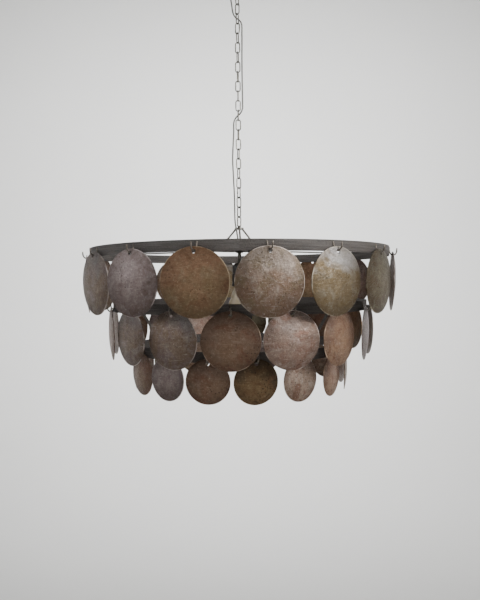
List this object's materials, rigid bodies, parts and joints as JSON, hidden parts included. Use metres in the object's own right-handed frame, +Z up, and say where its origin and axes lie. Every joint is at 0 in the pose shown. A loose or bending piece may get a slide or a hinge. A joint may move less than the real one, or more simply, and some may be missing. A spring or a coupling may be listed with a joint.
{
  "type": "pendant lamp",
  "caption": "Chain-hung pendant lamp: three flat iron rings of falling size, each hung with dished iron discs on wire hooks round a single bulb",
  "frame": {"origin": "middle of the bracket's top face, on the ceiling", "axes": "+Z up along the chain, -Y towards the viewer of the picture, +X to the viewer's right"},
  "size_m": [0.8181, 0.8194, 1.1361],
  "materials": {
    "ceiling_bracket": "plain steel bar",
    "canopy": "dark iron cup, worn",
    "ceiling_hook": "zinc-plated wire and shank",
    "chain": "dull zinc-plated chain",
    "power_cable": "grey plastic-covered cable",
    "lamp_frame": "raw iron rod and bar, welded",
    "lampholder": "dark moulded lampholder on a threaded stem",
    "bulb": "opal pear-shaped bulb",
    "rings": "flat raw iron band with wire hooks",
    "upper_discs": "oxidised raw iron sheet, semi-matt, mottled",
    "middle_discs": "oxidised raw iron sheet, semi-matt, mottled",
    "lower_discs": "oxidised raw iron sheet, semi-matt, mottled"
  },
  "bodies": {
    "ceiling_fitting": {"ceiling_bracket": "ceiling_bracket", "canopy": "canopy", "ceiling_hook": "ceiling_hook"},
    "top_link": {"top_link": "chain"},
    "chain": {"chain": "chain", "power_cable": "power_cable"},
    "lamp": {"lamp_frame": "lamp_frame", "lampholder": "lampholder", "bulb": "bulb", "upper_ring": "rings", "middle_ring": "rings", "lower_ring": "rings"},
    "upper_disc_01": {"upper_disc_01": "upper_discs"},
    "upper_disc_02": {"upper_disc_02": "upper_discs"},
    "upper_disc_03": {"upper_disc_03": "upper_discs"},
    "upper_disc_04": {"upper_disc_04": "upper_discs"},
    "upper_disc_05": {"upper_disc_05": "upper_discs"},
    "upper_disc_06": {"upper_disc_06": "upper_discs"},
    "upper_disc_07": {"upper_disc_07": "upper_discs"},
    "upper_disc_08": {"upper_disc_08": "upper_discs"},
    "upper_disc_09": {"upper_disc_09": "upper_discs"},
    "upper_disc_10": {"upper_disc_10": "upper_discs"},
    "upper_disc_11": {"upper_disc_11": "upper_discs"},
    "upper_disc_12": {"upper_disc_12": "upper_discs"},
    "upper_disc_13": {"upper_disc_13": "upper_discs"},
    "upper_disc_14": {"upper_disc_14": "upper_discs"},
    "upper_disc_15": {"upper_disc_15": "upper_discs"},
    "upper_disc_16": {"upper_disc_16": "upper_discs"},
    "middle_disc_01": {"middle_disc_01": "middle_discs"},
    "middle_disc_02": {"middle_disc_02": "middle_discs"},
    "middle_disc_03": {"middle_disc_03": "middle_discs"},
    "middle_disc_04": {"middle_disc_04": "middle_discs"},
    "middle_disc_05": {"middle_disc_05": "middle_discs"},
    "middle_disc_06": {"middle_disc_06": "middle_discs"},
    "middle_disc_07": {"middle_disc_07": "middle_discs"},
    "middle_disc_08": {"middle_disc_08": "middle_discs"},
    "middle_disc_09": {"middle_disc_09": "middle_discs"},
    "middle_disc_10": {"middle_disc_10": "middle_discs"},
    "middle_disc_11": {"middle_disc_11": "middle_discs"},
    "middle_disc_12": {"middle_disc_12": "middle_discs"},
    "middle_disc_13": {"middle_disc_13": "middle_discs"},
    "middle_disc_14": {"middle_disc_14": "middle_discs"},
    "middle_disc_15": {"middle_disc_15": "middle_discs"},
    "middle_disc_16": {"middle_disc_16": "middle_discs"},
    "lower_disc_01": {"lower_disc_01": "lower_discs"},
    "lower_disc_02": {"lower_disc_02": "lower_discs"},
    "lower_disc_03": {"lower_disc_03": "lower_discs"},
    "lower_disc_04": {"lower_disc_04": "lower_discs"},
    "lower_disc_05": {"lower_disc_05": "lower_discs"},
    "lower_disc_06": {"lower_disc_06": "lower_discs"},
    "lower_disc_07": {"lower_disc_07": "lower_discs"},
    "lower_disc_08": {"lower_disc_08": "lower_discs"},
    "lower_disc_09": {"lower_disc_09": "lower_discs"},
    "lower_disc_10": {"lower_disc_10": "lower_discs"},
    "lower_disc_11": {"lower_disc_11": "lower_discs"},
    "lower_disc_12": {"lower_disc_12": "lower_discs"},
    "lower_disc_13": {"lower_disc_13": "lower_discs"},
    "lower_disc_14": {"lower_disc_14": "lower_discs"},
    "lower_disc_15": {"lower_disc_15": "lower_discs"},
    "lower_disc_16": {"lower_disc_16": "lower_discs"}
  },
  "joints": [
    {"name": "top_swing", "type": "hinge", "parent": "ceiling_fitting", "child": "top_link", "pos_m": [0, 0, -0.086], "axis": [-0.7902, 0.6129, 0], "range_deg": [-20, 20]},
    {"name": "chain_swing", "type": "hinge", "parent": "top_link", "child": "chain", "pos_m": [0, 0, -0.1105], "axis": [0.6129, 0.7902, 0], "range_deg": [-20, 20], "deforming": ["power_cable"]},
    {"name": "lamp_swing", "type": "hinge", "parent": "chain", "child": "lamp", "pos_m": [0, 0, -0.7102], "axis": [0.7071, 0.7071, 0], "range_deg": [-15, 15], "deforming": ["power_cable"]},
    {"name": "upper_disc_01_swing", "type": "hinge", "parent": "lamp", "child": "upper_disc_01", "pos_m": [-0.09384, -0.39089, -0.79115], "axis": [-0.9724, 0.2334, 0], "range_deg": [-12, 16]},
    {"name": "upper_disc_02_swing", "type": "hinge", "parent": "lamp", "child": "upper_disc_02", "pos_m": [0.06289, -0.39705, -0.79115], "axis": [-0.9877, -0.1564, 0], "range_deg": [-12, 16]},
    {"name": "upper_disc_03_swing", "type": "hinge", "parent": "lamp", "child": "upper_disc_03", "pos_m": [0.21004, -0.34276, -0.79115], "axis": [-0.8526, -0.5225, 0], "range_deg": [-12, 16]},
    {"name": "upper_disc_04_swing", "type": "hinge", "parent": "lamp", "child": "upper_disc_04", "pos_m": [0.32522, -0.23629, -0.79115], "axis": [-0.5878, -0.809, 0], "range_deg": [-12, 16]},
    {"name": "upper_disc_05_swing", "type": "hinge", "parent": "lamp", "child": "upper_disc_05", "pos_m": [0.39089, -0.09384, -0.79115], "axis": [-0.2334, -0.9724, 0], "range_deg": [-12, 16]},
    {"name": "upper_disc_06_swing", "type": "hinge", "parent": "lamp", "child": "upper_disc_06", "pos_m": [0.39705, 0.06289, -0.79115], "axis": [0.1564, -0.9877, 0], "range_deg": [-12, 16]},
    {"name": "upper_disc_07_swing", "type": "hinge", "parent": "lamp", "child": "upper_disc_07", "pos_m": [0.34276, 0.21004, -0.79115], "axis": [0.5225, -0.8526, 0], "range_deg": [-12, 16]},
    {"name": "upper_disc_08_swing", "type": "hinge", "parent": "lamp", "child": "upper_disc_08", "pos_m": [0.23629, 0.32522, -0.79115], "axis": [0.809, -0.5878, 0], "range_deg": [-12, 16]},
    {"name": "upper_disc_09_swing", "type": "hinge", "parent": "lamp", "child": "upper_disc_09", "pos_m": [0.09384, 0.39089, -0.79115], "axis": [0.9724, -0.2334, 0], "range_deg": [-12, 16]},
    {"name": "upper_disc_10_swing", "type": "hinge", "parent": "lamp", "child": "upper_disc_10", "pos_m": [-0.06289, 0.39705, -0.79115], "axis": [0.9877, 0.1564, 0], "range_deg": [-12, 16]},
    {"name": "upper_disc_11_swing", "type": "hinge", "parent": "lamp", "child": "upper_disc_11", "pos_m": [-0.21004, 0.34276, -0.79115], "axis": [0.8526, 0.5225, 0], "range_deg": [-12, 16]},
    {"name": "upper_disc_12_swing", "type": "hinge", "parent": "lamp", "child": "upper_disc_12", "pos_m": [-0.32522, 0.23629, -0.79115], "axis": [0.5878, 0.809, 0], "range_deg": [-12, 16]},
    {"name": "upper_disc_13_swing", "type": "hinge", "parent": "lamp", "child": "upper_disc_13", "pos_m": [-0.39089, 0.09384, -0.79115], "axis": [0.2334, 0.9724, 0], "range_deg": [-12, 16]},
    {"name": "upper_disc_14_swing", "type": "hinge", "parent": "lamp", "child": "upper_disc_14", "pos_m": [-0.39705, -0.06289, -0.79115], "axis": [-0.1564, 0.9877, 0], "range_deg": [-12, 16]},
    {"name": "upper_disc_15_swing", "type": "hinge", "parent": "lamp", "child": "upper_disc_15", "pos_m": [-0.34276, -0.21004, -0.79115], "axis": [-0.5225, 0.8526, 0], "range_deg": [-12, 16]},
    {"name": "upper_disc_16_swing", "type": "hinge", "parent": "lamp", "child": "upper_disc_16", "pos_m": [-0.23629, -0.32522, -0.79115], "axis": [-0.809, 0.5878, 0], "range_deg": [-12, 16]},
    {"name": "middle_disc_01_swing", "type": "hinge", "parent": "lamp", "child": "middle_disc_01", "pos_m": [-0.0204, -0.3434, -0.92765], "axis": [-0.9982, 0.0593, 0], "range_deg": [-6, 14]},
    {"name": "middle_disc_02_swing", "type": "hinge", "parent": "lamp", "child": "middle_disc_02", "pos_m": [0.11256, -0.32506, -0.92765], "axis": [-0.9449, -0.3272, 0], "range_deg": [-6, 14]},
    {"name": "middle_disc_03_swing", "type": "hinge", "parent": "lamp", "child": "middle_disc_03", "pos_m": [0.22839, -0.25724, -0.92765], "axis": [-0.7478, -0.6639, 0], "range_deg": [-6, 14]},
    {"name": "middle_disc_04_swing", "type": "hinge", "parent": "lamp", "child": "middle_disc_04", "pos_m": [0.30945, -0.15026, -0.92765], "axis": [-0.4368, -0.8996, 0], "range_deg": [-6, 14]},
    {"name": "middle_disc_05_swing", "type": "hinge", "parent": "lamp", "child": "middle_disc_05", "pos_m": [0.3434, -0.0204, -0.92765], "axis": [-0.0593, -0.9982, 0], "range_deg": [-6, 14]},
    {"name": "middle_disc_06_swing", "type": "hinge", "parent": "lamp", "child": "middle_disc_06", "pos_m": [0.32506, 0.11256, -0.92765], "axis": [0.3272, -0.9449, 0], "range_deg": [-6, 14]},
    {"name": "middle_disc_07_swing", "type": "hinge", "parent": "lamp", "child": "middle_disc_07", "pos_m": [0.25724, 0.22839, -0.92765], "axis": [0.6639, -0.7478, 0], "range_deg": [-6, 14]},
    {"name": "middle_disc_08_swing", "type": "hinge", "parent": "lamp", "child": "middle_disc_08", "pos_m": [0.15026, 0.30945, -0.92765], "axis": [0.8996, -0.4368, 0], "range_deg": [-6, 14]},
    {"name": "middle_disc_09_swing", "type": "hinge", "parent": "lamp", "child": "middle_disc_09", "pos_m": [0.0204, 0.3434, -0.92765], "axis": [0.9982, -0.0593, 0], "range_deg": [-6, 14]},
    {"name": "middle_disc_10_swing", "type": "hinge", "parent": "lamp", "child": "middle_disc_10", "pos_m": [-0.11256, 0.32506, -0.92765], "axis": [0.9449, 0.3272, 0], "range_deg": [-6, 14]},
    {"name": "middle_disc_11_swing", "type": "hinge", "parent": "lamp", "child": "middle_disc_11", "pos_m": [-0.22839, 0.25724, -0.92765], "axis": [0.7478, 0.6639, 0], "range_deg": [-6, 14]},
    {"name": "middle_disc_12_swing", "type": "hinge", "parent": "lamp", "child": "middle_disc_12", "pos_m": [-0.30945, 0.15026, -0.92765], "axis": [0.4368, 0.8996, 0], "range_deg": [-6, 14]},
    {"name": "middle_disc_13_swing", "type": "hinge", "parent": "lamp", "child": "middle_disc_13", "pos_m": [-0.3434, 0.0204, -0.92765], "axis": [0.0593, 0.9982, 0], "range_deg": [-6, 14]},
    {"name": "middle_disc_14_swing", "type": "hinge", "parent": "lamp", "child": "middle_disc_14", "pos_m": [-0.32506, -0.11256, -0.92765], "axis": [-0.3272, 0.9449, 0], "range_deg": [-6, 14]},
    {"name": "middle_disc_15_swing", "type": "hinge", "parent": "lamp", "child": "middle_disc_15", "pos_m": [-0.25724, -0.22839, -0.92765], "axis": [-0.6639, 0.7478, 0], "range_deg": [-6, 7]},
    {"name": "middle_disc_16_swing", "type": "hinge", "parent": "lamp", "child": "middle_disc_16", "pos_m": [-0.15026, -0.30945, -0.92765], "axis": [-0.8996, 0.4368, 0], "range_deg": [-6, 7]},
    {"name": "lower_disc_01_swing", "type": "hinge", "parent": "lamp", "child": "lower_disc_01", "pos_m": [-0.07415, -0.27104, -1.03865], "axis": [-0.9646, 0.2639, 0], "range_deg": [-12, 14]},
    {"name": "lower_disc_02_swing", "type": "hinge", "parent": "lamp", "child": "lower_disc_02", "pos_m": [0.03522, -0.27878, -1.03865], "axis": [-0.9921, -0.1253, 0], "range_deg": [-12, 14]},
    {"name": "lower_disc_03_swing", "type": "hinge", "parent": "lamp", "child": "lower_disc_03", "pos_m": [0.13922, -0.24408, -1.03865], "axis": [-0.8686, -0.4955, 0], "range_deg": [-12, 14]},
    {"name": "lower_disc_04_swing", "type": "hinge", "parent": "lamp", "child": "lower_disc_04", "pos_m": [0.22203, -0.17223, -1.03865], "axis": [-0.6129, -0.7902, 0], "range_deg": [-12, 14]},
    {"name": "lower_disc_05_swing", "type": "hinge", "parent": "lamp", "child": "lower_disc_05", "pos_m": [0.27104, -0.07415, -1.03865], "axis": [-0.2639, -0.9646, 0], "range_deg": [-12, 14]},
    {"name": "lower_disc_06_swing", "type": "hinge", "parent": "lamp", "child": "lower_disc_06", "pos_m": [0.27878, 0.03522, -1.03865], "axis": [0.1253, -0.9921, 0], "range_deg": [-12, 14]},
    {"name": "lower_disc_07_swing", "type": "hinge", "parent": "lamp", "child": "lower_disc_07", "pos_m": [0.24408, 0.13922, -1.03865], "axis": [0.4955, -0.8686, 0], "range_deg": [-12, 14]},
    {"name": "lower_disc_08_swing", "type": "hinge", "parent": "lamp", "child": "lower_disc_08", "pos_m": [0.17223, 0.22203, -1.03865], "axis": [0.7902, -0.6129, 0], "range_deg": [-12, 14]},
    {"name": "lower_disc_09_swing", "type": "hinge", "parent": "lamp", "child": "lower_disc_09", "pos_m": [0.07415, 0.27104, -1.03865], "axis": [0.9646, -0.2639, 0], "range_deg": [-12, 14]},
    {"name": "lower_disc_10_swing", "type": "hinge", "parent": "lamp", "child": "lower_disc_10", "pos_m": [-0.03522, 0.27878, -1.03865], "axis": [0.9921, 0.1253, 0], "range_deg": [-12, 14]},
    {"name": "lower_disc_11_swing", "type": "hinge", "parent": "lamp", "child": "lower_disc_11", "pos_m": [-0.13922, 0.24408, -1.03865], "axis": [0.8686, 0.4955, 0], "range_deg": [-12, 14]},
    {"name": "lower_disc_12_swing", "type": "hinge", "parent": "lamp", "child": "lower_disc_12", "pos_m": [-0.22203, 0.17223, -1.03865], "axis": [0.6129, 0.7902, 0], "range_deg": [-12, 14]},
    {"name": "lower_disc_13_swing", "type": "hinge", "parent": "lamp", "child": "lower_disc_13", "pos_m": [-0.27104, 0.07415, -1.03865], "axis": [0.2639, 0.9646, 0], "range_deg": [-12, 14]},
    {"name": "lower_disc_14_swing", "type": "hinge", "parent": "lamp", "child": "lower_disc_14", "pos_m": [-0.27878, -0.03522, -1.03865], "axis": [-0.1253, 0.9921, 0], "range_deg": [-12, 14]},
    {"name": "lower_disc_15_swing", "type": "hinge", "parent": "lamp", "child": "lower_disc_15", "pos_m": [-0.24408, -0.13922, -1.03865], "axis": [-0.4955, 0.8686, 0], "range_deg": [-12, 14]},
    {"name": "lower_disc_16_swing", "type": "hinge", "parent": "lamp", "child": "lower_disc_16", "pos_m": [-0.17223, -0.22203, -1.03865], "axis": [-0.7902, 0.6129, 0], "range_deg": [-12, 14]}
  ]
}
